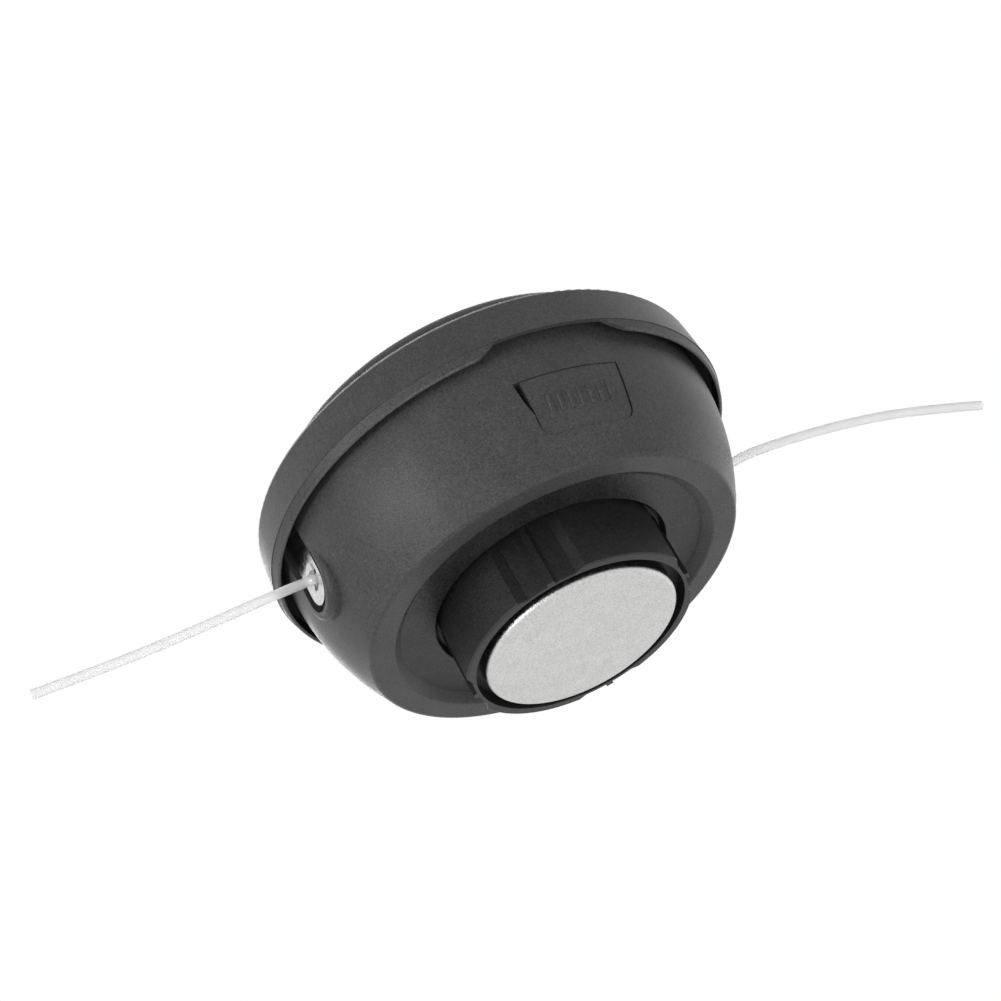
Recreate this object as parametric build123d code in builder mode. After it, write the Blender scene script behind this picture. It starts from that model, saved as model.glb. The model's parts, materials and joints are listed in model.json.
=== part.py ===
"""Bump-feed trimmer head: an upper housing with a captive drive nut, a bowl-shaped lower cover
held by two push latches, and a sprung line spool with a bump knob and a metal button.

The head hangs from its drive shaft: Z is the shaft's axis, z = 0 is the mounting face on top, and
the bump button is at the bottom. The line outlets are on X and the push latches on Y.
All sizes are in millimetres.
"""

import os
from math import cos, pi, radians, sin, tan

from build123d import *

os.makedirs("parts", exist_ok=True)

# Upper housing
body_r = 60.0            # widest radius, at the parting line of the band
band_draft = 0.9         # the band is this much smaller at its top edge
skirt_draft = 0.8        # and this much smaller at the skirt's lower edge
deck_w = 7.8             # flat deck between the band's edge and the plateau
plateau_round = 3.5
plateau_h = 9.4          # mounting face to the deck around the plateau
plateau_slope = 1.0
band_h = 10.9            # deck to the parting line
skirt_h = 2.5            # parting line to the skirt's lower edge
skirt_wall = 1.0
mould_step = 0.15        # small step at the parting line
wall = 2.4               # moulded wall of the housing and the cover
top_rim_w = 7.3          # rim around the pockets on top
top_pocket_depth = 3.5
top_rib_count = 8
top_rib_w = 2.4
hub_r = 16.0
post_r = 9.8             # post that the spool turns and slides on
post_reach = 1.0         # the post ends this far below the spool
shaft_bore_r = 6.2
post_floor = 8.0         # closed end of the post

# Drive nut
nut_af = 16.0
nut_h = 8.0
nut_hex_h = 6.0          # the rest is a round collar in the shaft's bore
nut_bore_r = 4.35        # minor radius of the M10 thread
nut_clear = 0.05
collar_clear = 0.1

# Lower cover
cover_gap = 1.9          # visible gap between the skirt and the bowl
rim_clear = 0.1
curve_lap = 1.8          # the bowl's curve starts this far inside the skirt
bowl_h = 28.9            # skirt's lower edge to the flat annulus at the bottom
mid_drop = 1.2           # the bowl narrows by this much at mid height
foot_drop = 6.5          # and by this much above the shoulder
mid_h = 9.7              # skirt's lower edge to the middle of the bowl's curve
foot_h = 4.0             # height of the shoulder above the bottom
shoulder_round = 1.3
shoulder_in = 2.0        # the shoulder's corner lies this far inside the foot
annulus_w = 6.0          # flat annulus between the shoulder and the step
step_depth = 2.4
step_run = 2.6
step_round = 1.0

# Line outlets
outlet_h = 8.7           # skirt's lower edge to the line
boss_half_w = 8.9
boss_set_back = 1.0      # the boss's face lies this far inside the rim
boss_depth = 4.2
boss_round = 1.5
boss_drop = 10.8         # bottom of the boss below the line
recess_half_w = 6.6
recess_drop = 8.5
outlet_web = 1.9         # thickness that the eyelet grips
eyelet_half_w = 5.0
eyelet_drop = 6.9
eyelet_neck_half_w = 3.0
eyelet_flange_t = 1.7
eyelet_throat_r = 2.1
eyelet_flare_r = 3.7
slot_clear = 0.15

# Push latches
window_drop = 7.1        # skirt's lower edge to the window
window_h = 14.0
window_top_half_w = 12.7
window_low_half_w = 11.7
window_relief = 1.4      # wider gap at one upper corner
relief_mid = 0.95        # what is left of it where it starts to close
relief_share = 0.62      # of the window's height
relief_turn = 0.36       # the relief starts to close here
window_round = 3.0
tab_gap = 0.35
tab_low_gap = 0.15
tab_recess = 0.25
tab_wall = 2.2
arm_wall = 2.0
arm_clear = 0.2
arm_arc = 18.0           # degrees
hook_drop = 3.4
root_gap = 0.3
notch_half_w = 15.0      # trailing end of the skirt's cut-out, at its top
notch_low_half_w = 21.5  # both ends, at the skirt's edge
notch_lead_half_w = 12.3  # leading end, at its top

# Spool and its index teeth
flange_clear = 3.6       # to the cover's wall above the shoulder
flange_t = 2.0
divider_t = 1.6
bump_stroke = 6.0
stroke_clear = 0.5       # left above the spool when it is pressed
hub_wall = 3.0
spring_pocket_r = 16.5
web_t = 5.0
spool_clear = 0.25
line_slot_w = 3.2
line_slot_depth = 9.0
spigot_wall = 2.5
spigot_h = 7.0
key_count = 4
key_w = 4.0
key_h = 4.5
key_clear = 0.2
tooth_clear = 0.2
tooth_len = 4.0
tooth_w = 6.4
tooth_h = 3.0
tooth_gap = 0.9          # tooth end to the face it passes
upper_tooth_h = 3.6
index_count = 4
stop_angle = 10.6        # from a moving tooth to the stop it rests on, degrees
upper_lag = 45.0         # the upper teeth come half a pitch later, degrees

# Bump knob and button
knob_r = 29.3
knob_h = 13.5            # stands out of the bottom by this much
knob_gap = 0.8           # to the hole in the cover
knob_rim_wall = 2.2
knob_flange_r = 33.5
knob_flange_t = 3.4
knob_web_t = 2.8
knob_key_clear = 0.2
cup_depth = 3.8
land_count = 4
land_turn = 60.0         # angle of the first recess between the lands, degrees
recess_half_angle = 17.5
recess_floor_half_angle = 13.0
recess_depth = 1.4
recess_drop_in = 1.2     # the recesses end this far below the knob's flange
rib_w = 1.8
rib_h = 1.0
button_gap = 2.4         # to the wall of the cup
button_proud = 1.2
button_round = 1.4
screw_r = 2.5
screw_clear = 0.1
screw_head_r = 5.0
screw_head_h = 3.4
screw_reach = 3.2
washer_r = 6.2
washer_t = 1.2
washer_hole_r = 3.2

# Bump spring
wire_r = 1.0
spring_r = 13.3
spring_turns = 5.5
thrust_t = 1.2
seat_gap = 0.05

# Cutting line
line_d = 2.4
fill_drop = 6.8          # the winding stays this far inside the flanges
winding_gap = 0.2

# Levels and radii that follow from the sizes above
plateau_r = body_r - band_draft - deck_w - plateau_slope
top_pocket_r = plateau_r - top_rim_w
deck_z = -plateau_h
parting_z = deck_z - band_h
skirt_z = parting_z - skirt_h
deck_low_z = deck_z - wall
ceiling_z = -top_pocket_depth - wall
skirt_r = body_r - skirt_draft
rim_r = skirt_r - skirt_wall - cover_gap
rim_z = deck_low_z
arc_z = skirt_z + curve_lap
mid_z = skirt_z - mid_h
bottom_z = skirt_z - bowl_h
outlet_z = skirt_z - outlet_h
window_top_z = skirt_z - window_drop
mid_r = rim_r - mid_drop
foot_r = rim_r - foot_drop
foot_z = bottom_z + foot_h
step_r = foot_r - shoulder_in - annulus_w
hole_r = knob_r + knob_gap
recess_z = bottom_z + step_depth
floor_z = recess_z + wall
low_floor_z = bottom_z + wall
window_low_z = window_top_z - window_h
boss_out_x = rim_r - boss_set_back
boss_in_x = boss_out_x - boss_depth
boss_face_x = boss_in_x + outlet_web
arm_out_r = mid_r - wall - arm_clear
arm_in_r = arm_out_r - arm_wall
flange_r = foot_r - wall - flange_clear
winding_r = flange_r - fill_drop
hub_out_r = spring_pocket_r + hub_wall
tooth_r = step_r - step_run - tooth_len / 2 - tooth_clear
spool_top_z = ceiling_z - upper_tooth_h - bump_stroke - stroke_clear
spool_low_z = floor_z + tooth_h + tooth_gap
post_end_z = spool_low_z - post_reach
shaft_bore_depth = -post_end_z - post_floor
divider_z = (spool_top_z + spool_low_z) / 2
web_z = spool_low_z + web_t
thrust_z = web_z + thrust_t
knob_in_r = knob_r - recess_depth - wall
spigot_out_r = knob_in_r - key_clear
cup_r = knob_r - knob_rim_wall
button_r = cup_r - button_gap
knob_rim_z = bottom_z - knob_h
recess_top_z = spool_low_z - knob_flange_t - recess_drop_in
cup_z = knob_rim_z + cup_depth
web_top_z = cup_z + knob_web_t
button_z = knob_rim_z - button_proud


def radial_plane(turn):
    """Section plane through the axis: local x is the radius at this angle, local y is up."""
    a = radians(turn)
    return Plane(origin=(0, 0, 0), x_dir=(cos(a), sin(a), 0), z_dir=(sin(a), -cos(a), 0))


def side_plane(turn, distance):
    """Plane that faces outwards at this angle and distance: local y is up."""
    a = radians(turn)
    centre = (distance * cos(a), distance * sin(a), 0)
    return Plane(origin=centre, x_dir=(-sin(a), cos(a), 0), z_dir=(cos(a), sin(a), 0))


def wall_points(inset):
    """Three points on the bowl's wall, this far inside its outer face."""
    return (rim_r - inset, arc_z), (mid_r - inset, mid_z), (foot_r - inset, foot_z)


def u_shape(half_w, low_z, top_z):
    """Upright U with a round bottom, open at the top."""
    centre_z = low_z + half_w
    with Locations((0, centre_z)):
        Circle(half_w)
    with Locations((0, (centre_z + top_z) / 2)):
        Rectangle(2 * half_w, top_z - centre_z)


def window_shape(gap, low_gap, relief):
    """Outline of a latch window, or of the tab in it with a gap all round."""
    top = window_top_half_w - gap
    low = window_low_half_w - gap
    top_z = window_top_z - gap / 2
    low_z = window_low_z + low_gap
    outline = [(-top - relief, top_z), (top, top_z), (low, low_z), (-low, low_z)]
    if relief:
        for share, widening in ((relief_share, 0), (relief_turn, relief_mid)):
            side = top - (top - low) * share
            outline.append((-side - widening, top_z - window_h * share))
    Polygon(*outline, align=None)


def near(shapes, x, y):
    """The vertex of a sketch that lies nearest to a point."""
    return shapes.vertices().sort_by_distance((x, y, 0))[0]


# Upper housing: band, skirt, plateau and post are one moulding
with BuildPart() as upper_housing:
    with BuildSketch(Plane.XZ) as housing_section:
        with BuildLine():
            Polyline(
                (0, 0),
                (plateau_r, 0),
                (plateau_r + plateau_slope, deck_z),
                (body_r - band_draft, deck_z),
                (body_r, parting_z),
                (body_r - mould_step, parting_z),
                (skirt_r, skirt_z),
                (skirt_r - skirt_wall, skirt_z),
                (body_r - mould_step - skirt_wall, parting_z),
                (body_r - mould_step - skirt_wall, parting_z + skirt_h),
                (rim_r + rim_clear, parting_z + 2 * skirt_h),
                (rim_r + rim_clear, deck_low_z),
                (plateau_r + plateau_slope - wall, deck_low_z),
                (plateau_r - wall, ceiling_z),
                (post_r, ceiling_z),
                (post_r, post_end_z),
                (0, post_end_z),
                close=True,
            )
        make_face()
        fillet(near(housing_section, plateau_r, 0), plateau_round)
        fillet(near(housing_section, body_r - band_draft, deck_z), wall / 3)
        fillet(near(housing_section, skirt_r, skirt_z), skirt_wall * 0.45)
        fillet(near(housing_section, skirt_r - skirt_wall, skirt_z), skirt_wall * 0.35)
    revolve(axis=Axis.Z)
    # Pockets between the radial ribs on top
    with BuildSketch(Plane.XY) as rib_pockets:
        Circle(top_pocket_r)
        Circle(hub_r, mode=Mode.SUBTRACT)
        with PolarLocations(top_pocket_r / 2, top_rib_count):
            Rectangle(top_pocket_r, top_rib_w, mode=Mode.SUBTRACT)
    extrude(amount=-top_pocket_depth, mode=Mode.SUBTRACT)
    # Nut pocket and the bore for the shaft's end
    with BuildSketch(Plane.XY):
        RegularPolygon(nut_af / 2 + nut_clear, 6, major_radius=False)
    extrude(amount=-nut_hex_h, mode=Mode.SUBTRACT)
    with BuildSketch(Plane.XY):
        Circle(shaft_bore_r)
    extrude(amount=-shaft_bore_depth, mode=Mode.SUBTRACT)
    # Skirt cut-outs over the push latches, with ends that curve into the skirt's edge
    for latch_turn in (90, 270):
        with BuildSketch(side_plane(latch_turn, plateau_r)):
            with BuildLine():
                TangentArc((-notch_low_half_w, skirt_z), (-notch_half_w, parting_z), tangent=(1, 0))
                Line((-notch_half_w, parting_z), (notch_lead_half_w, parting_z))
                TangentArc((notch_low_half_w, skirt_z), (notch_lead_half_w, parting_z), tangent=(-1, 0))
                Polyline(
                    (notch_low_half_w, skirt_z),
                    (notch_low_half_w, skirt_z - skirt_h),
                    (-notch_low_half_w, skirt_z - skirt_h),
                    (-notch_low_half_w, skirt_z),
                )
            make_face()
        extrude(amount=body_r - plateau_r + skirt_wall, mode=Mode.SUBTRACT)
    # Upper index teeth under the ceiling
    with BuildSketch(Plane.XY.offset(ceiling_z)):
        with PolarLocations(tooth_r, index_count):
            Rectangle(tooth_len, tooth_w)
    extrude(amount=-upper_tooth_h)
upper_housing.part.label = "upper_housing"
export_step(upper_housing.part, "parts/upper_housing.step")

# Drive nut: hexagon with chamfered corners, and a round collar below it
with BuildPart() as drive_nut:
    with BuildSketch(Plane.XY):
        RegularPolygon(nut_af / 2, 6, major_radius=False)
    extrude(amount=-nut_hex_h)
    with BuildSketch(Plane.XZ):
        corner_r = nut_af / 2 / cos(pi / 6)
        chamfer_h = (corner_r - nut_af / 2) * tan(pi / 6)
        with BuildLine():
            Polyline(
                (0, 0),
                (nut_af / 2, 0),
                (corner_r, -chamfer_h),
                (corner_r, -nut_hex_h + chamfer_h),
                (nut_af / 2, -nut_hex_h),
                (0, -nut_hex_h),
                close=True,
            )
        make_face()
    revolve(axis=Axis.Z, mode=Mode.INTERSECT)
    with BuildSketch(Plane.XY):
        Circle(shaft_bore_r - collar_clear)
    extrude(amount=-nut_h)
    with BuildSketch(Plane.XY):
        Circle(nut_bore_r)
    extrude(amount=-nut_h, mode=Mode.SUBTRACT)
drive_nut.part.label = "drive_nut"
export_step(drive_nut.part, "parts/drive_nut.step")

# Raised lip around a line outlet, joined to the cover below
with BuildPart() as outlet_boss:
    with BuildSketch(side_plane(0, boss_in_x)):
        u_shape(boss_half_w, outlet_z - boss_drop, rim_z)
    extrude(amount=boss_out_x - boss_in_x)
    front_face = outlet_boss.faces().sort_by(Axis.X)[-1]
    fillet(front_face.edges().sort_by(Axis.Z)[:-1], boss_round)

# Lower cover: one bowl with its outlets, latch windows and lower index teeth
with BuildPart() as lower_cover:
    with BuildSketch(Plane.XZ) as cover_section:
        with BuildLine():
            Line((rim_r, rim_z), (rim_r, arc_z))
            ThreePointArc(*wall_points(0))
            Polyline(
                (foot_r, foot_z),
                (foot_r - shoulder_in, bottom_z),
                (step_r, bottom_z),
                (step_r - step_run, recess_z),
                (hole_r, recess_z),
                (hole_r, floor_z),
                (step_r - step_run, floor_z),
                (step_r, low_floor_z),
                (foot_r - wall - shoulder_in / 2, low_floor_z),
                (foot_r - wall, foot_z),
            )
            ThreePointArc(*reversed(wall_points(wall)))
            Polyline((rim_r - wall, arc_z), (rim_r - wall, rim_z), (rim_r, rim_z))
        make_face()
        fillet(near(cover_section, foot_r - shoulder_in, bottom_z), shoulder_round)
        fillet(near(cover_section, step_r, bottom_z), step_round)
        fillet(near(cover_section, step_r - step_run, recess_z), step_round)
        fillet(near(cover_section, hole_r, recess_z), wall / 6)
    revolve(axis=Axis.Z)
    add(outlet_boss.part)
    add(outlet_boss.part.rotate(Axis.Z, 180))
    for outlet_turn in (0, 180):
        with BuildSketch(side_plane(outlet_turn, boss_face_x)):
            u_shape(recess_half_w, outlet_z - recess_drop, rim_z + wall)
        extrude(amount=body_r - boss_face_x, mode=Mode.SUBTRACT)
        with BuildSketch(side_plane(outlet_turn, boss_in_x - wall)):
            slot_half_w = eyelet_neck_half_w + slot_clear
            neck_drop = eyelet_drop - eyelet_half_w + eyelet_neck_half_w
            u_shape(slot_half_w, outlet_z - neck_drop - slot_clear, rim_z + wall)
        extrude(amount=body_r - boss_in_x, mode=Mode.SUBTRACT)
    for latch_turn in (90, 270):
        with BuildSketch(side_plane(latch_turn, step_r)) as window:
            window_shape(0, 0, window_relief)
            fillet(window.vertices().group_by(Axis.Y)[0], window_round)
        extrude(amount=body_r - step_r, mode=Mode.SUBTRACT)
    with BuildSketch(Plane.XY.offset(floor_z)):
        with PolarLocations(tooth_r, index_count):
            Rectangle(tooth_len, tooth_w)
    extrude(amount=tooth_h)
lower_cover.part.label = "lower_cover"
export_step(lower_cover.part, "parts/lower_cover.step")

# Line eyelets: flanged metal sleeves that slide into the outlet slots from the rim
for eyelet_name, eyelet_turn in (("eyelet_right", 0), ("eyelet_left", 180)):
    eyelet_top_z = rim_z - root_gap
    inner_x = boss_in_x - slot_clear - eyelet_flange_t
    outer_x = boss_face_x + slot_clear
    with BuildPart() as eyelet:
        with BuildSketch(side_plane(eyelet_turn, inner_x)):
            u_shape(eyelet_half_w, outlet_z - eyelet_drop, eyelet_top_z)
        extrude(amount=eyelet_flange_t)
        with BuildSketch(side_plane(eyelet_turn, inner_x)):
            neck_drop = eyelet_drop - eyelet_half_w + eyelet_neck_half_w
            u_shape(eyelet_neck_half_w, outlet_z - neck_drop, eyelet_top_z)
        extrude(amount=outer_x - inner_x + eyelet_flange_t / 2)
        with BuildSketch(side_plane(eyelet_turn, outer_x)):
            u_shape(eyelet_half_w, outlet_z - eyelet_drop, eyelet_top_z)
        extrude(amount=eyelet_flange_t)
        # Trumpet hole, flared at both ends
        end_x = outer_x + eyelet_flange_t
        throat_in_x = inner_x + eyelet_flange_t
        with BuildSketch(radial_plane(eyelet_turn)):
            with BuildLine():
                Line((inner_x, outlet_z), (inner_x, outlet_z + eyelet_flare_r))
                TangentArc(
                    (throat_in_x, outlet_z + eyelet_throat_r),
                    (inner_x, outlet_z + eyelet_flare_r),
                    tangent=(-1, 0),
                )
                Line((throat_in_x, outlet_z + eyelet_throat_r), (outer_x, outlet_z + eyelet_throat_r))
                TangentArc(
                    (outer_x, outlet_z + eyelet_throat_r),
                    (end_x, outlet_z + eyelet_flare_r),
                    tangent=(1, 0),
                )
                Polyline((end_x, outlet_z + eyelet_flare_r), (end_x, outlet_z), (inner_x, outlet_z))
            make_face()
        hole_axis = Axis((0, 0, outlet_z), (1, 0, 0))
        revolve(axis=hole_axis, mode=Mode.SUBTRACT)
    eyelet.part.label = eyelet_name
    export_step(eyelet.part, f"parts/{eyelet_name}.step")

# Push latches: an arm inside the cover's wall with a tab that fills the window
for latch_name, latch_turn in (("release_latch_front", 270), ("release_latch_rear", 90)):
    with BuildPart() as latch:
        with BuildSketch(radial_plane(latch_turn - 90)):
            with BuildLine():
                ThreePointArc(*wall_points(tab_recess))
                Line(wall_points(tab_recess)[2], wall_points(tab_recess + tab_wall)[2])
                ThreePointArc(*reversed(wall_points(tab_recess + tab_wall)))
                Line(wall_points(tab_recess + tab_wall)[0], wall_points(tab_recess)[0])
            make_face()
        revolve(axis=Axis.Z, revolution_arc=180)
        with BuildSketch(side_plane(latch_turn, step_r)) as tab:
            window_shape(tab_gap, tab_low_gap, 0)
            fillet(tab.vertices().group_by(Axis.Y)[0], window_round - tab_gap)
        extrude(amount=body_r - step_r, mode=Mode.INTERSECT)
        hook_z = window_top_z - tab_gap / 2
        with BuildSketch(radial_plane(latch_turn - arm_arc / 2)):
            with BuildLine():
                Polyline(
                    (arm_in_r, deck_low_z - root_gap),
                    (arm_out_r, deck_low_z - root_gap),
                    (arm_out_r, hook_z),
                    (mid_r - tab_recess - tab_wall / 2, hook_z),
                    (mid_r - tab_recess - tab_wall / 2, hook_z - hook_drop),
                    (arm_in_r, hook_z - hook_drop / 2),
                    close=True,
                )
            make_face()
        revolve(axis=Axis.Z, revolution_arc=arm_arc)
    latch.part.label = latch_name
    export_step(latch.part, f"parts/{latch_name}.step")

# Spool: two line chambers on a hub, with the spring's pocket inside and index teeth on both flanges
with BuildPart() as spool:
    with BuildSketch(Plane.XZ):
        with BuildLine():
            Polyline(
                (spring_pocket_r, spool_top_z),
                (flange_r, spool_top_z),
                (flange_r, spool_top_z - flange_t),
                (hub_out_r, spool_top_z - flange_t),
                (hub_out_r, divider_z + divider_t / 2),
                (flange_r, divider_z + divider_t / 2),
                (flange_r, divider_z - divider_t / 2),
                (hub_out_r, divider_z - divider_t / 2),
                (hub_out_r, spool_low_z + flange_t),
                (flange_r, spool_low_z + flange_t),
                (flange_r, spool_low_z),
                (spigot_out_r, spool_low_z),
                (spigot_out_r, spool_low_z - spigot_h),
                (spigot_out_r - spigot_wall, spool_low_z - spigot_h),
                (spigot_out_r - spigot_wall, spool_low_z),
                (post_r + spool_clear, spool_low_z),
                (post_r + spool_clear, web_z),
                (spring_pocket_r, web_z),
                close=True,
            )
        make_face()
    revolve(axis=Axis.Z)
    # Slots in the divider that anchor the line
    with BuildSketch(Plane.XY.offset(divider_z)):
        with PolarLocations(flange_r, 2):
            Rectangle(2 * line_slot_depth, line_slot_w)
    extrude(amount=divider_t, both=True, mode=Mode.SUBTRACT)
    # Keyways in the spigot for the knob
    with BuildSketch(Plane.XY.offset(spool_low_z - spigot_h)):
        with PolarLocations(spigot_out_r, key_count):
            Rectangle(3 * spigot_wall, key_w)
    extrude(amount=key_h, mode=Mode.SUBTRACT)
    # Index teeth
    with BuildSketch(Plane.XY.offset(spool_top_z)):
        with PolarLocations(tooth_r, index_count, start_angle=-upper_lag):
            Rectangle(tooth_len, tooth_w)
    extrude(amount=tooth_h)
    with BuildSketch(Plane.XY.offset(spool_low_z)):
        with PolarLocations(tooth_r, index_count, start_angle=-stop_angle):
            Rectangle(tooth_len, tooth_w)
    extrude(amount=-tooth_h)
spool.part.label = "spool"
export_step(spool.part, "parts/spool.step")

# Outline of one recess between two lands of the knob: sloping ends and a thin rib in the middle
with BuildSketch() as recess_outline:
    floor_r = knob_r - recess_depth
    past_r = knob_r + wall
    wide = radians(recess_half_angle)
    narrow = radians(recess_floor_half_angle)
    with BuildLine():
        ThreePointArc(
            (floor_r * cos(narrow), -floor_r * sin(narrow)),
            (floor_r, 0),
            (floor_r * cos(narrow), floor_r * sin(narrow)),
        )
        Polyline(
            (floor_r * cos(narrow), floor_r * sin(narrow)),
            (knob_r * cos(wide), knob_r * sin(wide)),
            (past_r * cos(wide), past_r * sin(wide)),
            (past_r * cos(wide), -past_r * sin(wide)),
            (knob_r * cos(wide), -knob_r * sin(wide)),
            (floor_r * cos(narrow), -floor_r * sin(narrow)),
        )
    make_face()
    with Locations((floor_r + rib_h / 2 - wall / 2, 0)):
        Rectangle(rib_h + wall, rib_w, mode=Mode.SUBTRACT)

# Bump knob: lands and recesses around a cup, a web for the button and a trapped flange
with BuildPart() as bump_knob:
    with BuildSketch(Plane.XZ) as knob_section:
        with BuildLine():
            Polyline(
                (knob_in_r, spool_low_z),
                (knob_flange_r, spool_low_z),
                (knob_flange_r, spool_low_z - knob_flange_t),
                (knob_r, spool_low_z - knob_flange_t),
                (knob_r, knob_rim_z),
                (cup_r, knob_rim_z),
                (cup_r, cup_z),
                (washer_hole_r, cup_z),
                (washer_hole_r, web_top_z),
                (knob_in_r, web_top_z),
                close=True,
            )
        make_face()
        fillet(near(knob_section, knob_r, knob_rim_z), knob_rim_wall / 5)
    revolve(axis=Axis.Z)
    with BuildSketch(Plane.XY.offset(knob_rim_z - wall)):
        with PolarLocations(0, land_count, start_angle=land_turn):
            add(recess_outline.sketch)
    extrude(amount=recess_top_z - knob_rim_z + wall, mode=Mode.SUBTRACT)
    # Keys that stand in the spool's keyways
    with BuildSketch(Plane.XY.offset(spool_low_z - spigot_h)):
        with PolarLocations(knob_in_r - spigot_wall / 2 + key_clear, key_count):
            Rectangle(spigot_wall, key_w - 2 * knob_key_clear)
    extrude(amount=key_h - knob_key_clear)
bump_knob.part.label = "bump_knob"
export_step(bump_knob.part, "parts/bump_knob.step")

# Bump button: metal disc with a rounded edge and a blind screw hole in its back
with BuildPart() as bump_button:
    with BuildSketch(Plane.XZ) as button_section:
        with BuildLine():
            Polyline(
                (screw_r + screw_clear, cup_z),
                (button_r, cup_z),
                (button_r, button_z),
                (0, button_z),
                (0, cup_z - screw_reach - screw_clear),
                (screw_r + screw_clear, cup_z - screw_reach - screw_clear),
                close=True,
            )
        make_face()
        fillet(near(button_section, button_r, button_z), button_round)
    revolve(axis=Axis.Z)
bump_button.part.label = "bump_button"
export_step(bump_button.part, "parts/bump_button.step")

# Washer and pan-head screw that hold the button from inside the knob
with BuildPart() as button_washer:
    with BuildSketch(Plane.XY.offset(web_top_z)):
        Circle(washer_r)
        Circle(washer_hole_r, mode=Mode.SUBTRACT)
    extrude(amount=washer_t)
button_washer.part.label = "button_washer"
export_step(button_washer.part, "parts/button_washer.step")

with BuildPart() as button_screw:
    head_z = web_top_z + washer_t
    with BuildSketch(Plane.XZ) as screw_section:
        with BuildLine():
            Polyline(
                (0, head_z + screw_head_h),
                (screw_head_r, head_z + screw_head_h),
                (screw_head_r, head_z),
                (screw_r, head_z),
                (screw_r, cup_z - screw_reach),
                (0, cup_z - screw_reach),
                close=True,
            )
        make_face()
        fillet(near(screw_section, screw_head_r, head_z + screw_head_h), screw_head_h / 2)
    revolve(axis=Axis.Z)
    with BuildSketch(Plane.XY.offset(head_z + screw_head_h)):
        RegularPolygon(screw_r, 6)
    extrude(amount=-screw_head_h / 2, mode=Mode.SUBTRACT)
button_screw.part.label = "button_screw"
export_step(button_screw.part, "parts/button_screw.step")

# Thrust washer between the spring and the spool's web
with BuildPart() as spring_washer:
    with BuildSketch(Plane.XY.offset(web_z + seat_gap)):
        Circle(spring_pocket_r - 2 * spool_clear)
        Circle(post_r + 2 * spool_clear, mode=Mode.SUBTRACT)
    extrude(amount=thrust_t - seat_gap)
spring_washer.part.label = "spring_washer"
export_step(spring_washer.part, "parts/spring_washer.step")

# Compression spring around the post, from the ceiling to the thrust washer
with BuildPart() as bump_spring:
    spring_low_z = thrust_z + seat_gap + wire_r
    spring_high_z = ceiling_z - seat_gap - wire_r
    coil_h = spring_high_z - spring_low_z
    with BuildLine():
        coil = Helix(coil_h / spring_turns, coil_h, spring_r, center=(0, 0, spring_low_z))
    with BuildSketch(Plane(origin=coil @ 0, z_dir=coil % 0)):
        Circle(wire_r)
    sweep(is_frenet=True)
bump_spring.part.label = "bump_spring"
export_step(bump_spring.part, "parts/bump_spring.step")

# Line windings, one in each chamber
upper_span = (divider_z + divider_t / 2, spool_top_z - flange_t)
lower_span = (spool_low_z + flange_t, divider_z - divider_t / 2)
for winding_name, span in (("line_winding_upper", upper_span), ("line_winding_lower", lower_span)):
    with BuildPart() as winding:
        with BuildSketch(Plane.XZ) as winding_section:
            low_z = span[0] + winding_gap
            high_z = span[1] - winding_gap
            with BuildLine():
                Polyline(
                    (hub_out_r + winding_gap, low_z),
                    (winding_r, low_z),
                    (winding_r, high_z),
                    (hub_out_r + winding_gap, high_z),
                    close=True,
                )
            make_face()
            fillet(winding_section.vertices().group_by(Axis.X)[-1], line_d)
        revolve(axis=Axis.Z)
    winding.part.label = winding_name
    export_step(winding.part, f"parts/{winding_name}.step")

# Free line ends, each a smooth tube through its eyelet
line_routes = {
    "line_end_left": [
        (-46.0, -0.9, -31.5),
        (-53.5, 0.3, -31.5),
        (-64.0, 3.2, -31.5),
        (-78.0, 8.0, -31.5),
        (-94.0, 13.2, -31.5),
        (-111.0, 17.2, -31.5),
        (-121.2, 19.4, -31.5),
    ],
    "line_end_right": [
        (46.0, 0.3, -31.6),
        (53.6, -0.2, -31.4),
        (60.6, -3.6, -28.6),
        (73.9, -4.5, -27.3),
        (88.7, -5.4, -27.0),
        (104.3, -5.4, -26.9),
        (122.5, -3.2, -26.9),
        (139.9, 0.0, -27.1),
    ],
}
for line_name, route in line_routes.items():
    points = [Vector(*point) for point in route]
    radii = []
    for before, here, after in zip(points, points[1:], points[2:]):
        turn = radians((here - before).get_angle(after - here))
        shorter = min((here - before).length, (after - here).length)
        radii.append(0.45 * shorter / tan(turn / 2))
    with BuildPart() as line_end:
        with BuildLine() as line_path:
            path = FilletPolyline(*points, radius=radii)
        with BuildSketch(Plane(origin=path @ 0, z_dir=path % 0)):
            Circle(line_d / 2)
        sweep()
    line_end.part.label = line_name
    export_step(line_end.part, f"parts/{line_name}.step")
    expected = pi * (line_d / 2) ** 2 * path.length
    print(line_name, "radii", [round(radius) for radius in radii], "length", round(path.length, 1))
    print(line_name, "volume", round(line_end.part.volume, 1), "expected", round(expected, 1))
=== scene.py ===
"""Looks of the bump-feed trimmer head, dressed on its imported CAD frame. Lengths are in metres."""

import json
import math

import bmesh
import bpy
from mathutils import Matrix, Vector
from mathutils.bvhtree import BVHTree


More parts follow.
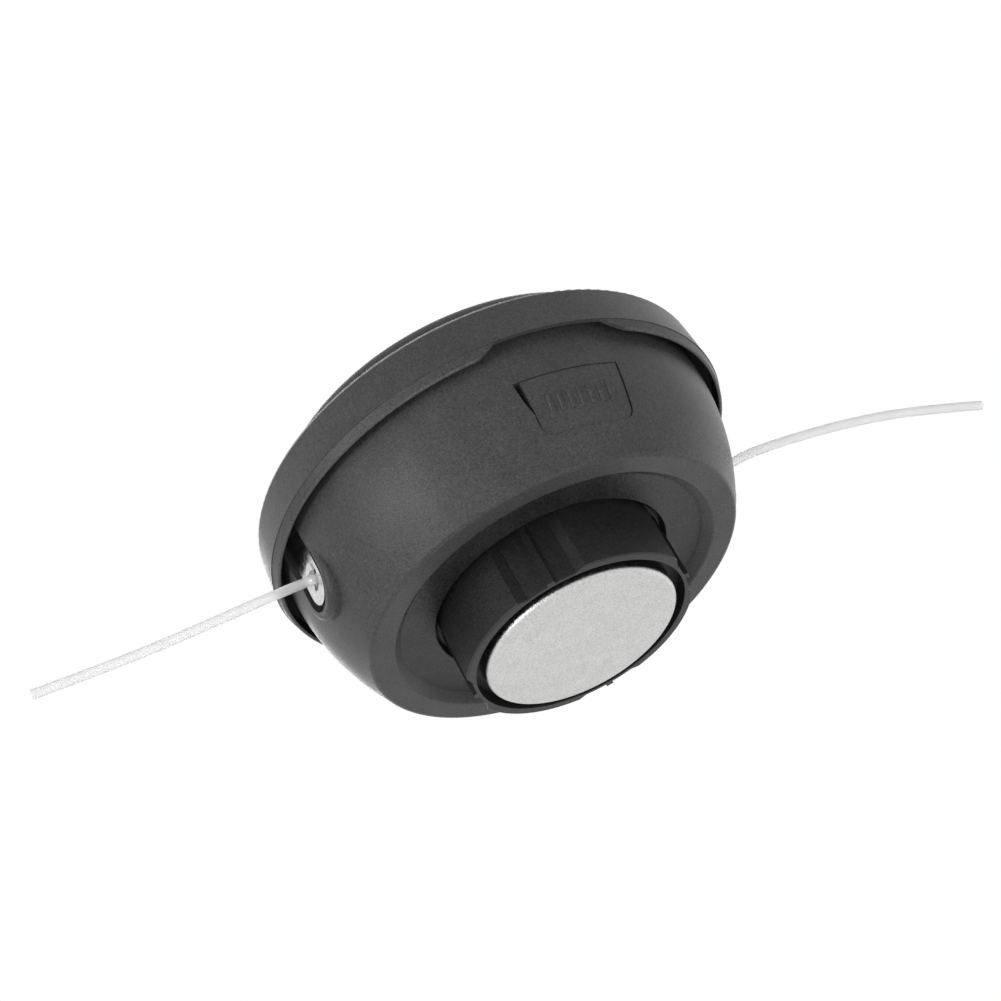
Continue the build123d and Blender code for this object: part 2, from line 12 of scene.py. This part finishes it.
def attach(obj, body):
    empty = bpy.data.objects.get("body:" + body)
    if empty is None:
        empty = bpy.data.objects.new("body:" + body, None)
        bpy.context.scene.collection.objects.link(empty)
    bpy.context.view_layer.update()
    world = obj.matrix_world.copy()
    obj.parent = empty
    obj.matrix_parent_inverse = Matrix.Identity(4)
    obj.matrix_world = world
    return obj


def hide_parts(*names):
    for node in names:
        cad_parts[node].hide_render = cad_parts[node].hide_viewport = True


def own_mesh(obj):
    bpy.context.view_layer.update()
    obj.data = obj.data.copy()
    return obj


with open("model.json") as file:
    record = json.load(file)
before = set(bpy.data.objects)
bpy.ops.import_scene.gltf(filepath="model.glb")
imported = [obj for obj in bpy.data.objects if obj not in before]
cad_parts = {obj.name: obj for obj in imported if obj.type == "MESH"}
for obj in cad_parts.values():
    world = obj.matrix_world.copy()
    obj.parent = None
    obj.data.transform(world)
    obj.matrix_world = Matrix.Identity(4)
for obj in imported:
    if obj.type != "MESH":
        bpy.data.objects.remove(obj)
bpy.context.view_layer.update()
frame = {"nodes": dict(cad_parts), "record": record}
nodes = frame["nodes"]
scene = bpy.context.scene
scene.view_settings.view_transform = "Standard"
MM = 0.001

# Camera, fitted to the photograph
VIEW_TURN = math.radians(-29.5)
VIEW_RISE = math.radians(-31.71)
VIEW_ROLL = math.radians(-29.602)
VIEW_DISTANCE = 0.6377
VIEW_CENTRE = Vector((0, 0, -0.0094))
VIEW_OFFSET = (-0.004434, 0.009561)
VIEW_LENS = 93.5
SENSOR = 36.0
CLIP_START = 0.01


def add_camera():
    """A view from below, rolled about the line of sight as the photograph is."""
    back = Vector((
        math.sin(VIEW_TURN) * math.cos(VIEW_RISE),
        -math.cos(VIEW_TURN) * math.cos(VIEW_RISE),
        math.sin(VIEW_RISE),
    ))
    level = Vector((math.cos(VIEW_TURN), math.sin(VIEW_TURN), 0))
    upright = back.cross(level)
    across = level * math.cos(VIEW_ROLL) + upright * math.sin(VIEW_ROLL)
    upward = upright * math.cos(VIEW_ROLL) - level * math.sin(VIEW_ROLL)
    offset = across * VIEW_OFFSET[0] + upward * VIEW_OFFSET[1]
    matrix = Matrix((across, upward, back)).transposed().to_4x4()
    matrix.translation = VIEW_CENTRE + back * VIEW_DISTANCE - offset
    camera = bpy.data.objects.new("camera", bpy.data.cameras.new("camera"))
    camera.data.lens = VIEW_LENS
    camera.data.sensor_width = SENSOR
    camera.data.clip_start = CLIP_START
    camera.matrix_world = matrix
    scene.collection.objects.link(camera)
    scene.camera = camera


add_camera()

# Free line ends, with each route in millimetres
LINE_D_MM = 2.4
LINE_D = LINE_D_MM * MM
LINE_STEPS = 16
LINE_SIDES = 6
LINES = {
    "cut_line_left": {
        "node": "line_end_left",
        "exit": (-0.05485, 0.0007, -0.0315),
        "length": 0.078,
        "route": [
            (-46.0, -0.9, -31.5),
            (-53.5, 0.3, -31.5),
            (-64.0, 3.2, -31.5),
            (-78.0, 8.0, -31.5),
            (-94.0, 13.2, -31.5),
            (-111.0, 17.2, -31.5),
            (-121.2, 19.4, -31.5),
        ],
    },
    "cut_line_right": {
        "node": "line_end_right",
        "exit": (0.05485, -0.0008, -0.0309),
        "length": 0.0954,
        "route": [
            (46.0, 0.3, -31.6),
            (53.6, -0.2, -31.4),
            (60.6, -3.6, -28.6),
            (73.9, -4.5, -27.3),
            (88.7, -5.4, -27.0),
            (104.3, -5.4, -26.9),
            (122.5, -3.2, -26.9),
            (139.9, 0.0, -27.1),
        ],
    },
}


def add_line(name, spec):
    curve = bpy.data.curves.new(name, "CURVE")
    curve.dimensions = "3D"
    spline = curve.splines.new("NURBS")
    spline.points.add(len(spec["route"]) - 1)
    # The tube's radius is the points' radius, which the bound box counts, times the bevel's depth
    for point, (x, y, z) in zip(spline.points, spec["route"]):
        point.co = (x * MM, y * MM, z * MM, 1)
        point.radius = LINE_D / 2
    curve.bevel_depth = 1.0
    curve.bevel_resolution = LINE_SIDES
    curve.use_fill_caps = True
    spline.order_u = 3
    spline.use_endpoint_u = True
    spline.resolution_u = LINE_STEPS
    line = bpy.data.objects.new(name, curve)
    scene.collection.objects.link(line)
    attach(line, "housing")
    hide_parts(spec["node"])
    return line


lines = [add_line(name, spec) for name, spec in LINES.items()]


# Materials: all textures are laid out in millimetres of the model's own frame
def math_node(tree, operation, *values):
    """The result of a Math node whose inputs are numbers or other nodes' outputs."""
    node = tree.nodes.new("ShaderNodeMath")
    node.operation = operation
    for socket, value in zip(node.inputs, values):
        if isinstance(value, (int, float)):
            socket.default_value = value
        else:
            tree.links.new(value, socket)
    return node.outputs["Value"]


class Recipe:
    """A material being put together from nodes."""

    def __init__(self, name):
        self.material = bpy.data.materials.new(name)
        self.material.use_nodes = True
        self.tree = self.material.node_tree
        self.shader = self.tree.nodes["Principled BSDF"]
        place = self.tree.nodes.new("ShaderNodeTexCoord")
        self.mm = self.tree.nodes.new("ShaderNodeMapping")
        self.mm.inputs["Scale"].default_value = (1 / MM, 1 / MM, 1 / MM)
        self.tree.links.new(place.outputs["Object"], self.mm.inputs["Vector"])

    def set(self, **values):
        """Set plain numbers on the shader, with _ for each space in a socket's name."""
        for key, value in values.items():
            self.shader.inputs[key.replace("_", " ")].default_value = value

    def link(self, socket, source):
        self.tree.links.new(source, self.shader.inputs[socket])

    def math(self, operation, *values):
        return math_node(self.tree, operation, *values)

    def noise(self, size, detail, rough, stretch=None):
        """Noise with features of a size in millimetres; a smaller stretch draws them out."""
        vector = self.mm.outputs["Vector"]
        if stretch:
            mapping = self.tree.nodes.new("ShaderNodeMapping")
            mapping.inputs["Scale"].default_value = stretch
            self.tree.links.new(vector, mapping.inputs["Vector"])
            vector = mapping.outputs["Vector"]
        node = self.tree.nodes.new("ShaderNodeTexNoise")
        node.inputs["Scale"].default_value = 1 / size
        node.inputs["Detail"].default_value = detail
        node.inputs["Roughness"].default_value = rough
        self.tree.links.new(vector, node.inputs["Vector"])
        return node.outputs["Fac"]

    def spread(self, source, low, high, start=0.3, end=0.7):
        """A source that runs from start to end, mapped to run from low to high."""
        node = self.tree.nodes.new("ShaderNodeMapRange")
        node.inputs["From Min"].default_value = start
        node.inputs["From Max"].default_value = end
        node.inputs["To Min"].default_value = low
        node.inputs["To Max"].default_value = high
        self.tree.links.new(source, node.inputs["Value"])
        return node.outputs["Result"]

    def parts(self):
        """The place in millimetres, as its three numbers."""
        node = self.tree.nodes.new("ShaderNodeSeparateXYZ")
        self.tree.links.new(self.mm.outputs["Vector"], node.inputs["Vector"])
        return node.outputs["X"], node.outputs["Y"], node.outputs["Z"]

    def radius(self):
        """Distance from the shaft's axis in millimetres."""
        x, y, _ = self.parts()
        squares = self.math("ADD", self.math("MULTIPLY", x, x), self.math("MULTIPLY", y, y))
        return self.math("SQRT", squares)

    def window(self, source, low, high, soft):
        """One between two values of a source, falling to zero on both sides."""
        rise = self.spread(source, 0.0, 1.0, start=low - soft, end=low)
        fall = self.spread(source, 1.0, 0.0, start=high, end=high + soft)
        return self.math("MULTIPLY", rise, fall)

    def tint(self, colour, factor):
        """A colour whose brightness is multiplied by a varying factor."""
        node = self.tree.nodes.new("ShaderNodeVectorMath")
        node.operation = "SCALE"
        node.inputs[0].default_value = colour
        self.tree.links.new(factor, node.inputs["Scale"])
        self.link("Base Color", node.outputs["Vector"])

    def bump(self, height, depth):
        """Relief whose height of one stands for a depth in metres."""
        node = self.tree.nodes.new("ShaderNodeBump")
        node.inputs["Strength"].default_value = 1.0
        node.inputs["Distance"].default_value = depth
        self.tree.links.new(height, node.inputs["Height"])
        self.link("Normal", node.outputs["Normal"])


ZONE_SOFT_Z = 0.2
ZONE_SOFT_R = 0.3


def moulded_nylon(name, colour, rough, mottle, grain_depth, zones):
    """Dark moulded plastic with a fine grain and light scuffs, paler or darker in some zones; on
    the housing these are painted highlights and painted shade.

    Each zone is (lowest z, highest z, least radius, greatest radius, strength), in millimetres.
    """
    recipe = Recipe(name)
    cloud = recipe.noise(size=11.0, detail=4.0, rough=0.6)
    grain = recipe.noise(size=0.75, detail=4.0, rough=0.7)
    fine = recipe.noise(size=0.26, detail=2.0, rough=0.6)
    scuff = recipe.noise(size=2.6, detail=5.0, rough=0.72, stretch=(1.0, 0.3, 0.5))
    shade = recipe.spread(cloud, 1 - mottle, 1 + mottle)
    shade = recipe.math("MULTIPLY", shade, recipe.spread(fine, 0.5, 1.5))
    shade = recipe.math("MULTIPLY", shade, recipe.spread(grain, 0.72, 1.28))
    shade = recipe.math("ADD", shade, recipe.spread(scuff, 0.0, 0.7, start=0.66, end=0.8))
    # Each zone adds to the colour: on the housing, painted highlights on two edges and painted
    # shade on a recessed floor
    for low_z, high_z, low_r, high_r, strength in zones:
        _, _, z = recipe.parts()
        zone = recipe.math(
            "MULTIPLY",
            recipe.window(z, low_z, high_z, ZONE_SOFT_Z),
            recipe.window(recipe.radius(), low_r, high_r, ZONE_SOFT_R),
        )
        change = recipe.spread(grain, 0.55 * strength, 1.25 * strength)
        shade = recipe.math("ADD", shade, recipe.math("MULTIPLY", zone, change))
    recipe.tint(colour, shade)
    recipe.set(Specular_IOR_Level=0.24)
    recipe.link("Roughness", recipe.spread(grain, rough - 0.06, rough + 0.08))
    recipe.bump(recipe.math("ADD", grain, recipe.math("MULTIPLY", fine, 0.6)), grain_depth)
    return recipe.material


def tumbled_aluminium(name):
    """Matt light metal with fine specks and a few bright nicks."""
    recipe = Recipe(name)
    speck = recipe.noise(size=0.5, detail=3.0, rough=0.7)
    cloud = recipe.noise(size=4.0, detail=3.0, rough=0.6)
    nick = recipe.noise(size=1.3, detail=4.0, rough=0.7)
    recipe.set(Metallic=1.0)
    shade = recipe.spread(speck, 0.78, 1.22)
    shade = recipe.math("MULTIPLY", shade, recipe.spread(cloud, 0.95, 1.05))
    shade = recipe.math("ADD", shade, recipe.spread(nick, 0.0, 0.12, start=0.64, end=0.76))
    recipe.tint((0.64, 0.64, 0.635), shade)
    recipe.link("Roughness", recipe.spread(speck, 0.3, 0.46))
    recipe.bump(speck, 0.0001)
    return recipe.material


def polished_metal(name):
    """Bright metal with a slight cloudiness from use."""
    recipe = Recipe(name)
    cloud = recipe.noise(size=1.4, detail=3.0, rough=0.6)
    recipe.set(Metallic=1.0)
    recipe.tint((0.66, 0.66, 0.655), recipe.spread(cloud, 0.8, 1.12))
    recipe.link("Roughness", recipe.spread(cloud, 0.14, 0.26))
    recipe.bump(cloud, 0.00002)
    return recipe.material


def plated_metal(name, colour, rough, stretch):
    """Plain metal whose fine marks run along one direction."""
    recipe = Recipe(name)
    brush = recipe.noise(size=0.5, detail=3.0, rough=0.6, stretch=stretch)
    cloud = recipe.noise(size=3.0, detail=3.0, rough=0.6)
    recipe.set(Metallic=1.0)
    recipe.tint(colour, recipe.spread(cloud, 0.88, 1.08))
    recipe.link("Roughness", recipe.spread(brush, rough - 0.08, rough + 0.1))
    recipe.bump(brush, 0.00003)
    return recipe.material


def threaded_metal(name, bore_r, pitch):
    """Plated steel whose bore shows the grooves of a left-hand thread, as bump and painted shade.
    """
    recipe = Recipe(name)
    brush = recipe.noise(size=0.5, detail=3.0, rough=0.6, stretch=(1, 1, 0.15))
    cloud = recipe.noise(size=3.0, detail=3.0, rough=0.6)
    x, y, z = recipe.parts()
    turn = recipe.math("DIVIDE", recipe.math("ARCTAN2", y, x), 2 * math.pi)
    phase = recipe.math("FRACT", recipe.math("ADD", recipe.math("DIVIDE", z, pitch), turn))
    groove = recipe.math("PINGPONG", phase, 0.5)
    inside = recipe.spread(recipe.radius(), 1.0, 0.0, start=bore_r + 0.1, end=bore_r + 0.2)
    thread = recipe.math("MULTIPLY", groove, inside)
    recipe.set(Metallic=1.0)
    shade = recipe.spread(cloud, 0.88, 1.08)
    # painted shade in a helix along the bore, marking the thread
    shade = recipe.math("SUBTRACT", shade, recipe.math("MULTIPLY", thread, 0.9))
    recipe.tint((0.6, 0.6, 0.59), shade)
    recipe.link("Roughness", recipe.spread(brush, 0.26, 0.44))
    recipe.bump(recipe.math("ADD", recipe.math("MULTIPLY", brush, 0.03), thread), 0.0009)
    return recipe.material


def wound_line(name, pitch):
    """Line nylon that lies in turns, one beside the other, with painted shade where the turns meet.
    """
    recipe = Recipe(name)
    streak = recipe.noise(size=1.5, detail=3.0, rough=0.6)
    _, _, z = recipe.parts()
    turns = recipe.math("PINGPONG", z, pitch / 2)
    recipe.set(IOR=1.53)
    # painted shade: darker where neighbouring turns meet
    recipe.tint((0.84, 0.85, 0.85), recipe.spread(turns, 0.55, 1.05, start=0.0, end=pitch / 2))
    recipe.link("Roughness", recipe.spread(streak, 0.26, 0.4))
    recipe.bump(recipe.math("SQRT", turns), 0.0009)
    return recipe.material


def line_nylon(name):
    """Milky monofilament that lets through much of the white behind it."""
    recipe = Recipe(name)
    streak = recipe.noise(size=0.8, detail=3.0, rough=0.6, stretch=(0.12, 1.0, 1.0))
    recipe.set(IOR=1.25, Transmission_Weight=0.6)
    recipe.tint((0.96, 0.96, 0.96), recipe.spread(streak, 0.98, 1.02))
    recipe.link("Roughness", recipe.spread(streak, 0.3, 0.4))
    recipe.bump(streak, 0.00001)
    return recipe.material


# Painted highlights on the band's upper edge and on the skirt's lower edge, and painted shade on
# the recessed floor around the knob
HOUSING_PAINTED_LIGHT = (
    # painted highlight on the band's upper edge
    (-10.1, -9.2, 58.2, 59.3, 6.0),
    # painted highlight on the skirt's lower edge
    (-23.2, -22.5, 57.5, 60.0, 0.6),
    # painted shade on the recessed floor around the knob
    (-49.6, -48.9, 29.0, 40.2, -0.6),
)
# The knob's rim, made paler
KNOB_ZONES = ((-66.0, -65.0, 26.9, 29.5, 1.3),)
THREAD_BORE_R = 4.35
THREAD_PITCH = 1.25
LOOKS = {
    "housing_nylon": moulded_nylon(
        "housing_nylon",
        colour=(0.059, 0.059, 0.06),
        rough=0.31,
        mottle=0.14,
        grain_depth=0.0001,
        zones=HOUSING_PAINTED_LIGHT,
    ),
    "knob_nylon": moulded_nylon(
        "knob_nylon",
        colour=(0.017, 0.017, 0.0175),
        rough=0.38,
        mottle=0.14,
        grain_depth=0.0001,
        zones=KNOB_ZONES,
    ),
    "spool_nylon": moulded_nylon(
        "spool_nylon",
        colour=(0.075, 0.075, 0.077),
        rough=0.5,
        mottle=0.12,
        grain_depth=0.00008,
        zones=(),
    ),
    "button_aluminium": tumbled_aluminium("button_aluminium"),
    "eyelet_metal": polished_metal("eyelet_metal"),
    "plated_steel": plated_metal(
        "plated_steel", colour=(0.6, 0.6, 0.59), rough=0.34, stretch=(1, 1, 0.15)
    ),
    "spring_steel": plated_metal(
        "spring_steel", colour=(0.45, 0.45, 0.46), rough=0.36, stretch=(0.3, 0.3, 1)
    ),
    "line_nylon": line_nylon("line_nylon"),
    "nut_thread": threaded_metal("nut_thread", THREAD_BORE_R, THREAD_PITCH),
    "wound_line": wound_line("wound_line", LINE_D_MM),
}


def dress(piece, look):
    piece.data.materials.clear()
    piece.data.materials.append(LOOKS[look])


for subpart in frame["record"]["subparts"]:
    dress(nodes[subpart["node"]], subpart["material_slot"])
for line in lines:
    dress(line, "line_nylon")
dress(nodes["drive_nut"], "nut_thread")
dress(nodes["line_winding_upper"], "wound_line")
dress(nodes["line_winding_lower"], "wound_line")


# Raised grip bars on the latches' tabs
BAR_COUNT = 7
BAR_PITCH = 2.55 * MM
BAR_W = 1.15 * MM
BAR_TOP_Z = -34.6 * MM
BAR_LOW_Z = -39.3 * MM
BAR_H = 0.4 * MM
BAR_SINK = 0.15 * MM
BAR_SHOULDER = 0.45 * BAR_H
BAR_STEPS = 10
TIP_W_SHARE = 0.72
TIP_H_SHARE = 0.5
PROBE_FROM = 0.1
# Across the bar as a share of its width, and the height over the tab
BAR_PROFILE = (
    (-0.5, -BAR_SINK),
    (-0.5, BAR_SHOULDER),
    (-0.3, BAR_H),
    (0.3, BAR_H),
    (0.5, BAR_SHOULDER),
    (0.5, -BAR_SINK),
)


def surface_of(node):
    mesh = nodes[node].data
    points = [vertex.co.copy() for vertex in mesh.vertices]
    return BVHTree.FromPolygons(points, [tuple(face.vertices) for face in mesh.polygons])


def add_ring(mesh, surface, side, middle, step):
    """One section of a bar, laid on the tab's surface; the first and last are smaller."""
    at_tip = step in (0, BAR_STEPS)
    width = BAR_W * (TIP_W_SHARE if at_tip else 1.0)
    rise = TIP_H_SHARE if at_tip else 1.0
    z = BAR_TOP_Z + (BAR_LOW_Z - BAR_TOP_Z) * step / BAR_STEPS
    ring = []
    for across, height in BAR_PROFILE:
        start = Vector((middle + across * width, side * PROBE_FROM, z))
        hit, normal, _, _ = surface.ray_cast(start, Vector((0, -side, 0)))
        lift = height * rise if height > 0 else height
        ring.append(mesh.verts.new(hit + normal * lift))
    return ring


def add_grip(name, latch, body, side):
    surface = surface_of(latch)
    mesh = bmesh.new()
    for index in range(BAR_COUNT):
        middle = (index - (BAR_COUNT - 1) / 2) * BAR_PITCH
        rings = [add_ring(mesh, surface, side, middle, step) for step in range(BAR_STEPS + 1)]
        for upper, lower in zip(rings, rings[1:]):
            for k in range(len(BAR_PROFILE)):
                mesh.faces.new((upper[k - 1], upper[k], lower[k], lower[k - 1]))
        mesh.faces.new(rings[0][::-1])
        mesh.faces.new(rings[-1])
    bmesh.ops.recalc_face_normals(mesh, faces=mesh.faces)
    data = bpy.data.meshes.new(name)
    mesh.to_mesh(data)
    mesh.free()
    grip = bpy.data.objects.new(name, data)
    scene.collection.objects.link(grip)
    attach(grip, body)
    dress(grip, "housing_nylon")


add_grip("latch_grip_front", "release_latch_front", "latch_front", -1)
add_grip("latch_grip_rear", "release_latch_rear", "latch_rear", 1)


def add_spring():
    spring = bpy.data.objects.new("coil_spring", nodes["bump_spring"].data.copy())
    scene.collection.objects.link(spring)
    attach(spring, "housing")
    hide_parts("bump_spring")
    dress(spring, "spring_steel")
    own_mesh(spring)


add_spring()


# Floor, world and lamps: a white tent with soft lamps
FLOOR_Z = -1.0
FLOOR_HALF = 40.0
FLOOR_COLOUR = (0.86, 0.86, 0.86, 1)
FLOOR_ROUGH = 0.9
FLOOR_WHITE = 0.95
WHITE = (1, 1, 1, 1)
WORLD_LIGHT = 0.21


def showing_rays(tree, camera_share):
    """One for mirrored and transmitted rays, a share for camera rays, and zero for the rest."""
    path = tree.nodes.new("ShaderNodeLightPath")
    camera = math_node(tree, "MULTIPLY", path.outputs["Is Camera Ray"], camera_share)
    mirrored = math_node(tree, "MAXIMUM", camera, path.outputs["Is Glossy Ray"])
    return math_node(tree, "MAXIMUM", mirrored, path.outputs["Is Transmission Ray"])


def floor_white():
    """A pale floor that keeps its shadows, and shows white to the camera and in metal."""
    material = bpy.data.materials.new("floor_white")
    material.use_nodes = True
    tree = material.node_tree
    shader = tree.nodes["Principled BSDF"]
    shader.inputs["Base Color"].default_value = FLOOR_COLOUR
    shader.inputs["Roughness"].default_value = FLOOR_ROUGH
    white = tree.nodes.new("ShaderNodeEmission")
    white.inputs["Color"].default_value = WHITE
    white.inputs["Strength"].default_value = 1.0
    mix = tree.nodes.new("ShaderNodeMixShader")
    tree.links.new(showing_rays(tree, FLOOR_WHITE), mix.inputs["Fac"])
    tree.links.new(shader.outputs["BSDF"], mix.inputs[1])
    tree.links.new(white.outputs["Emission"], mix.inputs[2])
    tree.links.new(mix.outputs["Shader"], tree.nodes["Material Output"].inputs["Surface"])
    return material


def add_floor():
    data = bpy.data.meshes.new("floor")
    corners = [(-1, -1), (1, -1), (1, 1), (-1, 1)]
    points = [(x * FLOOR_HALF, y * FLOOR_HALF, FLOOR_Z) for x, y in corners]
    data.from_pydata(points, [], [(0, 1, 2, 3)])
    floor = bpy.data.objects.new("floor", data)
    scene.collection.objects.link(floor)
    data.materials.append(floor_white())


def add_world():
    """A dim white light all around that shows as full white itself."""
    world = bpy.data.worlds.new("tent")
    scene.world = world
    world.use_nodes = True
    tree = world.node_tree
    tree.nodes.clear()
    light = tree.nodes.new("ShaderNodeBackground")
    light.inputs["Color"].default_value = WHITE
    light.inputs["Strength"].default_value = WORLD_LIGHT
    shown = tree.nodes.new("ShaderNodeBackground")
    shown.inputs["Color"].default_value = WHITE
    shown.inputs["Strength"].default_value = 1.0
    mix = tree.nodes.new("ShaderNodeMixShader")
    out = tree.nodes.new("ShaderNodeOutputWorld")
    tree.links.new(showing_rays(tree, 1.0), mix.inputs["Fac"])
    tree.links.new(light.outputs["Background"], mix.inputs[1])
    tree.links.new(shown.outputs["Background"], mix.inputs[2])
    tree.links.new(mix.outputs["Shader"], out.inputs["Surface"])


def add_lamp(name, place, aim, size, power, glossy):
    """A square lamp that is seen only by its light and, where glossy, in shiny surfaces."""
    data = bpy.data.lights.new(name, "AREA")
    data.shape = "SQUARE"
    data.size = size
    data.energy = power
    lamp = bpy.data.objects.new(name, data)
    scene.collection.objects.link(lamp)
    direction = Vector(aim) - Vector(place)
    lamp.rotation_mode = "QUATERNION"
    lamp.rotation_quaternion = direction.to_track_quat("-Z", "Y")
    lamp.location = place
    lamp.visible_camera = False
    lamp.visible_glossy = glossy
    lamp.visible_transmission = False


MIDDLE = (0, 0, -0.03)
UPPER_MIDDLE = (0, 0, -0.02)
LOW_LEFT = (-0.4, -0.5, -0.6)
LOW_RIGHT = (0.4, -0.5, -0.6)

add_floor()
add_world()
add_lamp("left", (-0.92, -0.3, -0.08), MIDDLE, size=0.4, power=4.2, glossy=True)
add_lamp("right", (0.92, 0.25, -0.12), MIDDLE, size=0.6, power=0.5, glossy=True)
add_lamp("rim", (0.3, 0.7, 0.6), UPPER_MIDDLE, size=0.6, power=3.2, glossy=True)
# The flat button would mirror these two as plain white from behind
add_lamp("low_left", LOW_LEFT, MIDDLE, size=0.6, power=2.2, glossy=False)
add_lamp("low_right", LOW_RIGHT, MIDDLE, size=0.6, power=2.1, glossy=False)
